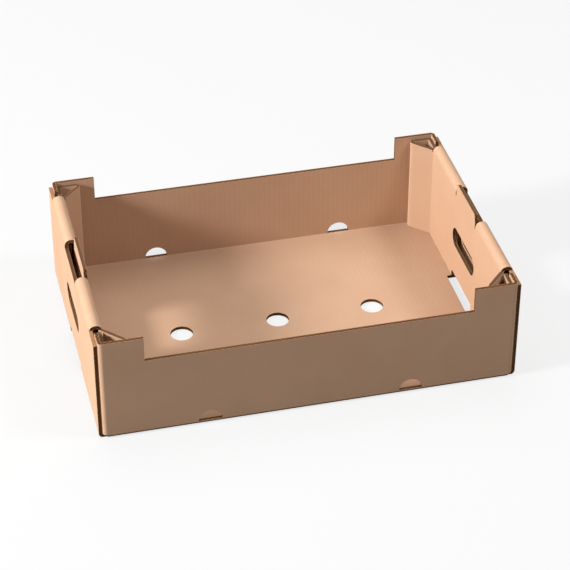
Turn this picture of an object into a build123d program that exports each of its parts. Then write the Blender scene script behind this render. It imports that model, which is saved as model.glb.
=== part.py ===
from build123d import *
import os

# Stacking tray folded from one die-cut blank of corrugated board.
# Millimetres. X along the tray, Y across it, Z up, origin under the middle of the floor.
# A quarter of the tray is folded up and mirrored, because the blank is the same about both
# of its middle lines. The openings are punched once the panels are joined.

# Board and folds
board = 5.0
fold_inside = 1.0
play = 0.4

# Outside of the folded tray
length = 590.0
width = 400.0
wall_height = 123.0
ear_height = 160.0
ear_length = 66.5

# Double end walls, joined by a rolled top
end_height = 161.0
end_thickness = 18.0
end_corner_height = 154.5
roll_outside = 8.5

# Stacking tab that stands up from the inner end panel, and the window it leaves in the roll
tab_height = 170.0
tab_width = 86.0
tab_taper = 3.3
tab_straight = 12.0
tab_corner = 3.0
tab_slit = 3.0
window_level = 148.5

# Slot in the floor and notches in the end walls, for the tab of the tray below
slot_length = 92.0
slot_lead = 7.0
slot_corner = 2.0
outer_notch_height = 13.0
inner_notch_height = 16.0

# Hand holes, level with each other in both panels of the end wall
hand_length = 100.0
hand_height = 31.0
hand_level = 79.3

# Round vents in the floor, and half-round ones at the foot of the long walls
vent_radius = 16.5
vent_spacing = 141.5

# Flaps of the long walls, folded round behind the outer end panels
flap_length = 150.0
flap_ear = 27.0
flap_height = 149.0

# Three-sided corner posts, folded from the wings of the inner end panels
post_beside_wall = 31.1
post_beside_end = 32.6
post_height = 155.0
post_return = 26.0

# Middle of the board in each panel, and the faces and levels that several panels share
half_length = length / 2
half_width = width / 2
fold_middle = fold_inside + board / 2
fold_outside = fold_inside + board
step_in = board + play
floor_middle = board / 2
wall_middle = half_width - board / 2
wall_inside = half_width - board
end_middle = half_length - board / 2
flap_middle = end_middle - step_in
inner_panel_middle = half_length - end_thickness + board / 2
inner_panel_face = half_length - end_thickness
post_wall_middle = wall_middle - step_in
post_end_middle = flap_middle - step_in
crease_line = post_wall_middle - post_beside_end
corner_start = flap_middle - fold_middle
roll_middle = roll_outside - board / 2
roll_level = end_height - roll_outside


def strip(points, radii):
    """The board's section, laid along a line through the middle of its thickness."""
    return trace(FilletPolyline(*points, radius=radii), line_width=board)


def block(x_range, y_range, z_range):
    """A box between two limits along each axis."""
    size = [high - low for low, high in (x_range, y_range, z_range)]
    corner = (x_range[0], y_range[0], z_range[0])
    return Pos(*corner) * Box(*size, align=(Align.MIN, Align.MIN, Align.MIN))


def floor_quarter():
    return block((0, half_length - fold_outside), (0, half_width - fold_outside), (0, board))


def long_wall_quarter():
    """Half of a long wall with its ear, folded up from the floor."""
    points = [
        (half_width - 2 * fold_outside, floor_middle),
        (wall_middle, floor_middle),
        (wall_middle, ear_height),
    ]
    section = Plane.YZ * strip(points, fold_middle)
    wall = extrude(section, amount=corner_start)
    dip = block((0, half_length - ear_length), (wall_inside, half_width), (wall_height, ear_height))
    return wall - dip


def flap():
    """Flap of the long wall, turned round the corner and stepped down to pass under the roll."""
    points = [
        (corner_start - board, wall_middle),
        (flap_middle, wall_middle),
        (flap_middle, half_width - flap_length),
    ]
    section = Pos(0, 0, fold_outside) * strip(points, fold_middle)
    turned = extrude(section, amount=ear_height - fold_outside)
    ear_edge = half_width - flap_ear
    step = block((corner_start, half_length), (0, ear_edge), (flap_height, ear_height))
    return turned - step


def outer_end_quarter():
    """Half of the outer end panel, folded up from the floor."""
    points = [
        (half_length - 2 * fold_outside, floor_middle),
        (end_middle, floor_middle),
        (end_middle, end_corner_height),
    ]
    section = Plane.XZ * strip(points, fold_middle)
    return extrude(section, amount=-wall_inside)


def inner_end_quarter():
    """The rolled top of the end wall and half of the inner panel that hangs from it."""
    roll_top = end_height - board / 2
    points = [
        (end_middle, roll_level - board),
        (end_middle, roll_top),
        (inner_panel_middle, roll_top),
        (inner_panel_middle, step_in),
    ]
    section = Plane.XZ * strip(points, roll_middle)
    return extrude(section, amount=-crease_line)


def corner_post():
    """Wing of the inner panel: across the corner, along the long wall and back along the end."""
    points = [
        (inner_panel_middle, crease_line - fold_outside),
        (inner_panel_middle, crease_line),
        (inner_panel_middle - post_beside_wall, post_wall_middle),
        (post_end_middle, post_wall_middle),
        (post_end_middle, post_wall_middle - post_return),
    ]
    section = Pos(0, 0, step_in) * strip(points, fold_middle)
    wing = extrude(section, amount=post_height - step_in)
    roll_end = crease_line + play
    relief = block((inner_panel_face - board, half_length), (0, roll_end), (roll_level, post_height))
    return wing - relief


def stacking_tab():
    """Tab that carries the inner panel's plane up through the window in the roll."""
    shoulder = tab_height - tab_straight
    tip = tab_width / 2 - tab_taper
    outline = Polyline(
        (-tab_width / 2, window_level),
        (-tab_width / 2, shoulder),
        (-tip, tab_height),
        (tip, tab_height),
        (tab_width / 2, shoulder),
        (tab_width / 2, window_level),
        close=True,
    )
    face = make_face(outline)
    face = fillet(face.vertices().sort_by(Axis.Y)[-2:], tab_corner)
    return Pos(inner_panel_face, 0, 0) * extrude(Plane.YZ * face, amount=board)


def end_openings():
    """What is punched out of one end: window, slot with its notches, and both hand holes."""
    window_half = tab_width / 2 + tab_slit
    window = block(
        (inner_panel_face - board, half_length + board),
        (-window_half, window_half),
        (window_level, end_height + board),
    )
    slot = block(
        (inner_panel_face - slot_lead, half_length + board),
        (-slot_length / 2, slot_length / 2),
        (-board, outer_notch_height),
    )
    slot = fillet(slot.edges().filter_by(Axis.Z).group_by(Axis.X)[0], slot_corner)
    slot = fillet(slot.edges().filter_by(Axis.X).group_by(Axis.Z)[-1], slot_corner)
    notch = block(
        (inner_panel_face - slot_lead, flap_middle),
        (-slot_length / 2, slot_length / 2),
        (board, inner_notch_height),
    )
    notch = fillet(notch.edges().filter_by(Axis.X).group_by(Axis.Z)[-1], slot_corner)
    hand = Plane.YZ * SlotOverall(hand_length, hand_height)
    inner_hand = extrude(Pos(inner_panel_middle, 0, hand_level) * hand, board, both=True)
    outer_hand = extrude(Pos(end_middle, 0, hand_level) * hand, step_in / 2, both=True)
    return [window, slot, notch, inner_hand, outer_hand]


def foot_vent():
    """Half-round vent at the foot of a long wall, with its flat side where the fold begins."""
    upper = Pos(0, vent_radius) * Rectangle(2 * vent_radius, 2 * vent_radius)
    arch = Plane.XZ * (Circle(vent_radius) & upper)
    return extrude(Pos(0, wall_middle, fold_outside) * arch, board, both=True)


quarter = floor_quarter() + long_wall_quarter() + flap() + outer_end_quarter()
quarter = quarter + inner_end_quarter() + corner_post()
half = quarter + mirror(quarter, Plane.XZ)
openings = end_openings()
half = half - openings + stacking_tab()
tray = half + mirror(half, Plane.YZ)

for column in (-vent_spacing, 0, vent_spacing):
    tray = tray - Pos(column, 0, 0) * Cylinder(vent_radius, 4 * board)
for column in (-vent_spacing, vent_spacing):
    vent = Pos(column, 0, 0) * foot_vent()
    tray = tray - vent - mirror(vent, Plane.XZ)

os.makedirs("parts", exist_ok=True)
tray = tray.solid()
tray.label = "tray"
export_step(tray, "parts/tray.step")
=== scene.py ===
import math
import bpy
import bmesh
from mathutils import Matrix, Vector


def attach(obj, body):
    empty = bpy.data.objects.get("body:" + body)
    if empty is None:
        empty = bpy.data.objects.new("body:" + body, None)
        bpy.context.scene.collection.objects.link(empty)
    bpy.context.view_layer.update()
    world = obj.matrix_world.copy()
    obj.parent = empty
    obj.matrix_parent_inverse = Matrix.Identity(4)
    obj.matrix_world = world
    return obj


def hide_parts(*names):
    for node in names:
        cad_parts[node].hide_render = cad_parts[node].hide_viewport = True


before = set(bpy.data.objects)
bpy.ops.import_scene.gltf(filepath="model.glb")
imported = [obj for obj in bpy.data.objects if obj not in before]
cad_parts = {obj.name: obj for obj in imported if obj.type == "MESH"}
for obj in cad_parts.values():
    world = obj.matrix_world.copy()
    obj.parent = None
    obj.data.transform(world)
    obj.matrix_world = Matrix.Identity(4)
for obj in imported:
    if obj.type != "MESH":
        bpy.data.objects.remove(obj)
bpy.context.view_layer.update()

scene = bpy.context.scene
scene.view_settings.view_transform = "Standard"
print("frame loaded")


# Shader maths: a socket that can be used in plain Python expressions
class Sock:
    def __init__(self, shader, out):
        self.shader, self.out = shader, out

    def calc(self, operation, *values):
        sockets = dict(enumerate(values))
        return self.shader.node("ShaderNodeMath", {"operation": operation}, sockets)

    def __add__(self, other): return self.calc("ADD", self, other)
    def __radd__(self, other): return self.calc("ADD", other, self)
    def __sub__(self, other): return self.calc("SUBTRACT", self, other)
    def __rsub__(self, other): return self.calc("SUBTRACT", other, self)
    def __mul__(self, other): return self.calc("MULTIPLY", self, other)
    def __rmul__(self, other): return self.calc("MULTIPLY", other, self)
    def __truediv__(self, other): return self.calc("DIVIDE", self, other)
    def __rtruediv__(self, other): return self.calc("DIVIDE", other, self)
    def __abs__(self): return self.calc("ABSOLUTE", self)
    def sine(self): return self.calc("SINE", self)
    def atLeast(self, other): return self.calc("MAXIMUM", self, other)

    def pick(self, which):  # another output of the same node, by number or name
        return Sock(self.shader, self.out.node.outputs[which])

    def ramp(self, low, high):  # 0 at low, 1 at high, smooth in between
        sockets = {"Value": self, "From Min": low, "From Max": high}
        return self.shader.node("ShaderNodeMapRange", {"interpolation_type": "SMOOTHSTEP"}, sockets)

    def near(self, place, reach, core=0.4):  # 1 up to that share of the reach, 0 past all of it
        return 1 - abs(self - place).ramp(reach * core, reach)


class Shader:  # the nodes of a material or a world, with one way to add a node
    def __init__(self, owner):
        owner.use_nodes = True
        self.owner, self.tree = owner, owner.node_tree
        self.tree.nodes.clear()

    def node(self, kind, settings, sockets, out=0):
        n = self.tree.nodes.new(kind)
        for key, value in settings.items():
            setattr(n, key, value)
        for key, value in sockets.items():
            if isinstance(value, Sock):
                self.tree.links.new(value.out, n.inputs[key])
            else:
                n.inputs[key].default_value = value
        return Sock(self, n.outputs[out] if len(n.outputs) else None)

    def mix(self, factor, a, b):  # of two colours, whose sockets have these numbers
        return self.node("ShaderNodeMix", {"data_type": "RGBA"}, {0: factor, 6: a, 7: b}, out=2)

    def noise(self, vector, grain):
        if "stretch" in grain:
            sockets = {"Vector": vector, "Scale": grain["stretch"]}
            vector = self.node("ShaderNodeMapping", {}, sockets)
        sockets = {"Vector": vector, "Scale": grain["scale"]}
        sockets.update({"Detail": grain["detail"], "Roughness": grain["roughness"]})
        return self.node("ShaderNodeTexNoise", {}, sockets)

    def seen(self):  # 1 for what the camera sees, also in a mirror or through glass
        path = self.node("ShaderNodeLightPath", {}, {}, "Is Camera Ray")
        return path.atLeast(path.pick("Is Glossy Ray")).atLeast(path.pick("Is Transmission Ray"))

    def finish(self, kind, shader):
        self.node(kind, {}, {0: shader})
        return self.owner


def paint(*picked):  # a colour picker's three numbers, as the shader wants them
    shares = [number / 255 for number in picked]
    linear = [v / 12.92 if v <= 0.04045 else ((v + 0.055) / 1.055) ** 2.4 for v in shares]
    return (*linear, 1.0)


# The folded sheet of board in metres, one quarter of it: the others mirror it
sheet = {
    "thickness": 0.005,
    "foldRadius": 0.0035,  # of the board's middle, as are the places below
    "rollRadius": 0.006,
    "floorLevel": 0.0025,
    "wallAt": 0.1975,
    "wallTop": 0.16,
    "endAt": 0.2925,
    "rollTop": 0.1585,
    "innerAt": 0.2795,
    "innerFoot": 0.0054,
    "flapAt": 0.2871,
    "flapEnd": 0.05,
    "postCrease": 0.1595,
    "postCorner": (0.2484, 0.1921),
    "postBackAt": 0.2817,
    "postBackEnd": 0.1661,
    "postTop": 0.155,
    "tabReach": 0.0445,
    "slack": 0.0001,  # how far past a panel's end its own corners may lie
    "weld": 0.000001,
    "sameRun": 0.00001,  # a face with less run than this is parallel to the flutes
    "skin": 0.0004,  # a face whose corners lie this near to one side of the board is on it
    "cutLean": 0.5,  # a face that leans more than this along its panel's folds is a cut
    "smoothAngle": 35.0,
}


# The board's middle, followed through its folds: flats and bends, each with the run before it
def foldLine(corners, radii):
    pieces, run = [], 0.0
    points = [Vector(corner) for corner in corners]
    here = points[0]
    for i in range(1, len(points)):
        ahead = (points[i] - points[i - 1]).normalized()
        stop, last = points[i], i == len(points) - 1
        if not last:
            after, radius = (points[i + 1] - points[i]).normalized(), radii[i - 1]
            turn = math.atan2(ahead.x * after.y - ahead.y * after.x, ahead.dot(after))
            back = radius * math.tan(abs(turn) / 2)
            stop = points[i] - ahead * back
        length = (stop - here).length
        flat = {"bend": False, "start": here, "ahead": ahead, "length": length, "run": run}
        pieces.append(flat)
        run += length
        if not last:
            side, length = math.copysign(1.0, turn), abs(turn) * radius
            centre = stop + Vector((-ahead.y, ahead.x)) * side * radius
            bend = {"bend": True, "start": stop - centre, "centre": centre, "side": side}
            bend.update({"radius": radius, "length": length, "run": run})
            pieces.append(bend)
            run += length
            here = points[i] + after * back
    return pieces


# Where a point lies by a fold line: its run along the board, its offset to the left of the
# board's middle, and how far off the board it is
def onLine(pieces, x, y):
    spots = []
    for piece in pieces:
        start = piece["start"]
        if piece["bend"]:
            arm = Vector((x, y)) - piece["centre"]
            angle = math.atan2(start.x * arm.y - start.y * arm.x, start.dot(arm)) * piece["side"]
            along, left = angle * piece["radius"], piece["side"] * (piece["radius"] - arm.length)
        else:
            arm, ahead = Vector((x, y)) - start, piece["ahead"]
            along, left = arm.dot(ahead), ahead.x * arm.y - ahead.y * arm.x
        past = max(0.0, -along, along - piece["length"])
        off = past + max(0.0, abs(left) - sheet["thickness"] / 2)
        spots.append((piece["run"] + along, left, off))
    return min(spots, key=lambda spot: round(spot[2], 7))


fold, roll = sheet["foldRadius"], sheet["rollRadius"]
level, wallAt, endAt = sheet["floorLevel"], sheet["wallAt"], sheet["endAt"]
innerAt, rollTop, flapAt = sheet["innerAt"], sheet["rollTop"], sheet["flapAt"]
crease, corner, backAt = sheet["postCrease"], sheet["postCorner"], sheet["postBackAt"]

wallLine = foldLine([(0, level), (wallAt, level), (wallAt, sheet["wallTop"])], [fold])
cornerLine = foldLine([(0, wallAt), (flapAt, wallAt), (flapAt, sheet["flapEnd"])], [fold])
endLine = foldLine([(0, level), (endAt, level), (endAt, rollTop), (innerAt, rollTop),
                    (innerAt, sheet["innerFoot"])], [fold, roll, roll])
postLine = foldLine([(innerAt, 0), (innerAt, crease), corner, (backAt, corner[1]),
                     (backAt, sheet["postBackEnd"])], [fold, fold, fold])

wallFoot, wallRun = wallLine[-1]["start"].y, wallLine[-1]["run"]
rollFoot, rollRun = endLine[-1]["start"].y, endLine[-1]["run"]
outerEnd = endLine[2]["run"] + endLine[2]["length"]


def depthOf(left):  # how deep in the board: 0 at its outer face, 1 at its inner one
    return 0.5 + left / sheet["thickness"]


# Where a point lies by each panel: its run across the flutes, its run along them, its depth in
# the board and how far off the board it is
def onWall(x, y, z):
    run, left, off = onLine(wallLine, y, z)
    return x, run, depthOf(left), off if x < flapAt - fold + sheet["slack"] else 1.0


def onCorner(x, y, z):
    run, left, off = onLine(cornerLine, x, y)
    upright = z > wallFoot - sheet["slack"]
    return run, wallRun + z - wallFoot, depthOf(-left), off if upright else 1.0


def onEnd(x, y, z):
    run, left, off = onLine(endLine, x, z)
    onPostWing = run > outerEnd + sheet["slack"] and y > crease + sheet["slack"]
    return run, y, depthOf(left), 1.0 if onPostWing else off


def onPost(x, y, z):
    run, left, off = onLine(postLine, x, y)
    low = z < sheet["postTop"] + sheet["slack"]
    return rollRun + rollFoot - z, run, depthOf(-left), off if low else 1.0


def onInner(x, y, z):
    left, slack = x - innerAt, sheet["slack"]
    inPlane = abs(left) < sheet["thickness"] / 2 + slack and y < crease + slack
    upright = z > sheet["innerFoot"] - slack and (z < rollFoot + slack or y < sheet["tabReach"])
    return rollRun + rollFoot - z, y, depthOf(left), 0.0 if inPlane and upright else 1.0


# Panels with the axis that runs along their folds
panels = [(onInner, 1), (onEnd, 1), (onWall, 0), (onCorner, 2), (onPost, 2)]

# The papers in the order of their slots, each with what its map holds of the run across the
# flutes, the run along them and the depth
papers = {"outerLiner": (0, 1), "innerLiner": (0, 1), "cutEdge": (0, 2), "pressedEdge": (1, 2)}


def blankMap(bm):  # the UV map follows the flat blank, and on cuts the thickness of the board
    uv = bm.loops.layers.uv.new("blank")
    for face in bm.faces:
        middle = face.calc_center_median()
        here = (abs(middle.x), abs(middle.y), middle.z)
        place, axis = min(panels, key=lambda panel: round(panel[0](*here)[3], 6))
        spots = []
        for loop in face.loops:
            x, y, z = loop.vert.co
            across, along, depth, off = place(abs(x), abs(y), z)
            deep = depth * sheet["thickness"]
            spots.append((math.copysign(across, x), math.copysign(along, y), deep))
        runs, depths = [spot[0] for spot in spots], [spot[2] for spot in spots]
        outside = max(depths) < sheet["skin"]
        inside = min(depths) > sheet["thickness"] - sheet["skin"]
        if (outside or inside) and abs(face.normal[axis]) < sheet["cutLean"]:
            paper = "outerLiner" if outside else "innerLiner"
        else:
            paper = "pressedEdge" if max(runs) - min(runs) < sheet["sameRun"] else "cutEdge"
        face.material_index = list(papers).index(paper)
        for loop, spot in zip(face.loops, spots):
            loop[uv].uv = [spot[i] for i in papers[paper]]


# Bends shade round and flats stay flat: at each corner the flats count by their areas
def foldNormals(bm):
    limit = math.cos(math.radians(sheet["smoothAngle"]))
    flatOf, area = {}, {}
    for face in bm.faces:  # the faces of one flat share their direction and their distance
        away = face.normal.dot(face.calc_center_median())
        flatOf[face] = (*(round(n, 3) for n in face.normal), round(away, 5))
        area[flatOf[face]] = area.get(flatOf[face], 0.0) + face.calc_area()
    normals = []
    for face in bm.faces:
        face.smooth = True
        for loop in face.loops:
            mates = [mate for mate in loop.vert.link_faces
                     if mate.material_index == face.material_index
                     and mate.normal.dot(face.normal) > limit]
            flats = {flatOf[mate]: mate.normal for mate in mates}
            total = sum((normal * area[flat] for flat, normal in flats.items()), Vector())
            normals.append(total.normalized())
    return normals


def makeTray():
    bm = bmesh.new()
    bm.from_mesh(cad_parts["tray"].data)
    bmesh.ops.remove_doubles(bm, verts=bm.verts, dist=sheet["weld"])
    bm.normal_update()
    blankMap(bm)
    normals = foldNormals(bm)
    mesh = bpy.data.meshes.new("traySheet")
    bm.to_mesh(mesh)
    bm.free()
    mesh.normals_split_custom_set(normals)
    tray = bpy.data.objects.new("traySheet", mesh)
    scene.collection.objects.link(tray)
    return tray


# Brown kraft liner on both faces of the board
liner = {
    "sides": {  # colour, shade and how high the flutes show through
        "outerLiner": (paint(197, 160, 131), paint(188, 150, 121), 0.000012),
        "innerLiner": (paint(193, 158, 131), paint(184, 148, 121), 0.00005),
    },
    "fleckColour": paint(158, 119, 93),
    "wornColour": paint(204, 170, 144),
    "flutePitch": 0.0076,
    # painted shade: the flutes' relief also darkens the colour a little in stripes
    "fluteShadeTone": 0.03,
    "cloud": {"scale": 11.0, "detail": 3.0, "roughness": 0.5},
    "cloudRange": (0.3, 0.7),
    "cloudTone": 0.45,
    "fibre": {"stretch": (260.0, 1500.0, 1.0), "scale": 1.0, "detail": 3.0, "roughness": 0.65},
    "fibreRange": (0.25, 0.75),
    "fibreTone": 0.4,
    "fibreDepth": 0.000018,
    "fleck": {"stretch": (420.0, 1900.0, 1.0), "scale": 1.0, "detail": 1.0, "roughness": 0.4},
    "fleckRange": (0.68, 0.80),
    "fleckTone": 0.35,
    "wornReach": 0.0035,
    "wornRange": (0.35, 0.6),
    "wornTone": 0.45,
    "roughness": 0.86,
    "fibreRoughness": 0.08,
    "gloss": 0.18,
}


def fluteWave(across, height):  # the fluted paper's wave about the middle of the board
    return (across * (2 * math.pi / liner["flutePitch"])).sine() * height + 0.5


def linerPaper(name):
    plain, shade, fluteDepth = liner["sides"][name]
    m = Shader(bpy.data.materials.new(name))
    place = m.node("ShaderNodeTexCoord", {}, {}, "Object")
    blank = m.node("ShaderNodeUVMap", {"uv_map": "blank"}, {})
    across = m.node("ShaderNodeSeparateXYZ", {}, {0: blank})
    along = across.pick("Y")

    cloud = m.noise(place, liner["cloud"])
    fibre = m.noise(blank, liner["fibre"])
    fleck = m.noise(blank, liner["fleck"])
    flute = fluteWave(across, 0.5)

    tone = cloud.ramp(*liner["cloudRange"]) * liner["cloudTone"]
    tone = tone + fibre.ramp(*liner["fibreRange"]) * liner["fibreTone"]
    # the flutes also darken the colour a little in stripes: painted shade of their relief, beside
    # the bump below
    colour = m.mix(tone + flute * liner["fluteShadeTone"], plain, shade)
    flecked = fleck.ramp(*liner["fleckRange"]) * liner["fleckTone"]
    colour = m.mix(flecked, colour, liner["fleckColour"])

    # creases: the liner is scuffed a little paler where walls and ends bend up
    creases = [(along, wallLine[1]), (across, endLine[1])]
    scuff = sum(abs(way).near(bend["run"] + bend["length"] / 2, liner["wornReach"])
                for way, bend in creases)
    worn = scuff * fibre.ramp(*liner["wornRange"]) * liner["wornTone"]
    colour = m.mix(worn, colour, liner["wornColour"])

    dull = liner["roughness"] + fibre * liner["fibreRoughness"]
    height = flute * fluteDepth + fibre * liner["fibreDepth"]  # in metres
    bump = m.node("ShaderNodeBump", {}, {"Strength": 1.0, "Distance": 1.0, "Height": height})
    return boardFinish(m, colour, dull, liner["gloss"], bump)


# Cut edges: across the flutes two liners show with the fluted paper waving between them, and
# along the flutes the knife has pressed the layers together
edge = {
    "paper": paint(158, 120, 88),
    # painted shade: the dark inside the open flute channels between the papers
    "hollowShade": paint(76, 46, 20),
    "skin": paint(138, 104, 77),
    "pressed": paint(105, 77, 55),
    "crack": paint(86, 61, 41),
    "linerShare": 0.09,  # of the board's thickness, as are the next three
    "linerBlur": 0.03,
    "waveHeight": 0.33,
    "waveThickness": 0.09,
    "waveCore": 0.5,
    "fray": {"scale": 700.0, "detail": 2.0, "roughness": 0.6},
    "paperTone": 0.7,
    "frayTone": 0.6,
    "frayHeight": 0.4,
    "layers": {"stretch": (420.0, 2600.0, 1.0), "scale": 1.0, "detail": 3.0, "roughness": 0.6},
    "layerRange": (0.35, 0.65),
    "skinHeight": 0.5,
    "depth": 0.0003,
    "bumpStrength": 0.5,
    "roughness": 0.95,
    "gloss": 0.08,
}


def skinsAt(depth):  # 1 in the two liners
    start = 0.5 - edge["linerShare"]
    return abs(depth - 0.5).ramp(start - edge["linerBlur"], start)


def cutEdge():
    m = Shader(bpy.data.materials.new("cutEdge"))
    place = m.node("ShaderNodeTexCoord", {}, {}, "Object")
    blank = m.node("ShaderNodeUVMap", {"uv_map": "blank"}, {})
    across = m.node("ShaderNodeSeparateXYZ", {}, {0: blank})
    depth = across.pick("Y") / sheet["thickness"]
    fray = m.noise(place, edge["fray"])
    wave = fluteWave(across, edge["waveHeight"])
    medium = depth.near(wave, edge["waveThickness"], edge["waveCore"])
    paper = medium.atLeast(skinsAt(depth))
    tone = paper * (edge["paperTone"] + fray * edge["frayTone"])
    # between the papers the flat cut is painted dark as the shade inside the open flute channels
    colour = m.mix(tone, edge["hollowShade"], edge["paper"])
    return edgeFinish(m, colour, paper + fray * edge["frayHeight"])


def pressedEdge():
    m = Shader(bpy.data.materials.new("pressedEdge"))
    blank = m.node("ShaderNodeUVMap", {"uv_map": "blank"}, {})
    depth = m.node("ShaderNodeSeparateXYZ", {}, {0: blank}, "Y") / sheet["thickness"]
    layers = m.noise(blank, edge["layers"])
    skins = skinsAt(depth)
    colour = m.mix(layers.ramp(*edge["layerRange"]), edge["pressed"], edge["crack"])
    colour = m.mix(skins, colour, edge["skin"])
    return edgeFinish(m, colour, skins * edge["skinHeight"] - layers)


def edgeFinish(m, colour, height):
    sockets = {"Strength": edge["bumpStrength"], "Distance": edge["depth"], "Height": height}
    bump = m.node("ShaderNodeBump", {}, sockets)
    return boardFinish(m, colour, edge["roughness"], edge["gloss"], bump)


def boardFinish(m, colour, roughness, gloss, bump):
    sockets = {"Base Color": colour, "Roughness": roughness}
    sockets.update({"Specular IOR Level": gloss, "Normal": bump})
    surface = m.node("ShaderNodeBsdfPrincipled", {}, sockets)
    return m.finish("ShaderNodeOutputMaterial", surface)


tray = makeTray()
print("tray sheet made")
for paper in (linerPaper("outerLiner"), linerPaper("innerLiner"), cutEdge(), pressedEdge()):
    tray.data.materials.append(paper)
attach(tray, "root")
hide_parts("tray")
print("board papers made")

# Floor, lamps and the world's light
studio = {
    "floorSize": 12.0,
    "floorDrop": 0.0002,  # just under the tray
    "floorColour": paint(247, 247, 247),
    "shadowPaper": (0.75, 0.75, 0.75, 1.0),
    "shadowShare": 0.2,
    "floorBounce": (0.25, 0.25, 0.25, 1.0),
    "skyLight": (0.175, 0.175, 0.175, 1.0),
    "aim": (0.0, 0.0, 0.06),
    "lamps": {  # place, width and watts
        "keyLight": ((-3.539, -0.457, 1.867), 0.77, 204.0),
        "backLight": ((-0.209, 2.339, 4.165), 4.58, 116.2),
        "rightLight": ((1.543, -0.730, 2.476), 0.79, 38.9),
        "leftLight": ((-5.217, -0.536, 0.335), 4.64, 139.1),
    },
}


# The floor shows its own pale colour, dimmed by a share of real paper that takes the shadow
def makeFloor():
    bm = bmesh.new()
    bmesh.ops.create_grid(bm, x_segments=1, y_segments=1, size=studio["floorSize"])
    bmesh.ops.translate(bm, vec=(0, 0, -studio["floorDrop"]), verts=bm.verts)
    mesh = bpy.data.meshes.new("studioFloor")
    bm.to_mesh(mesh)
    bm.free()
    floor = bpy.data.objects.new("studioFloor", mesh)
    scene.collection.objects.link(floor)
    m = Shader(bpy.data.materials.new("palePaper"))
    seen = m.seen()
    tone = m.mix(seen, studio["floorBounce"], studio["shadowPaper"])
    paper = m.node("ShaderNodeBsdfDiffuse", {}, {"Color": tone})
    pale = m.node("ShaderNodeEmission", {}, {"Color": studio["floorColour"], "Strength": 1.0})
    share = seen * (1 - studio["shadowShare"])
    both = m.node("ShaderNodeMixShader", {}, {0: share, 1: paper, 2: pale})
    mesh.materials.append(m.finish("ShaderNodeOutputMaterial", both))


def makeLights():
    aim = Vector(studio["aim"])
    for name, (place, width, watts) in studio["lamps"].items():
        lamp = bpy.data.lights.new(name, "AREA")
        lamp.shape, lamp.size, lamp.energy = "DISK", width, watts
        stand = bpy.data.objects.new(name, lamp)
        stand.location = place
        stand.rotation_euler = (aim - Vector(place)).to_track_quat("-Z", "Y").to_euler()
        stand.visible_camera = False
        scene.collection.objects.link(stand)


def makeSky():
    m = Shader(bpy.data.worlds.new("studioSky"))
    tone = m.mix(m.seen(), studio["skyLight"], studio["floorColour"])
    sky = m.node("ShaderNodeBackground", {}, {"Color": tone, "Strength": 1.0})
    scene.world = m.finish("ShaderNodeOutputWorld", sky)


# The camera stands where the photograph was taken from
shot = {
    "frame": 570,  # pixels across
    "focal": 2132.15,  # in those pixels
    "sensor": 36.0,
    "place": (-0.57215, -2.40147, 1.86128),
    "yaw": 0.2382,
    "pitch": 0.6286,
}


def makeCamera():
    forward, drop = math.cos(shot["pitch"]), math.sin(shot["pitch"])
    east, north = math.sin(shot["yaw"]), math.cos(shot["yaw"])
    ahead = Vector((east * forward, north * forward, -drop))
    right = Vector((north, -east, 0))
    up = right.cross(ahead)
    lens = bpy.data.cameras.new("photoCamera")
    lens.sensor_width = shot["sensor"]
    lens.lens = shot["focal"] * shot["sensor"] / shot["frame"]
    camera = bpy.data.objects.new("photoCamera", lens)
    scene.collection.objects.link(camera)
    turn = Matrix((right, up, -ahead)).transposed().to_4x4()
    turn.translation = Vector(shot["place"])
    camera.matrix_world = turn
    scene.camera = camera


makeFloor()
makeLights()
makeSky()
makeCamera()
print("studio ready")

bpy.context.view_layer.update()
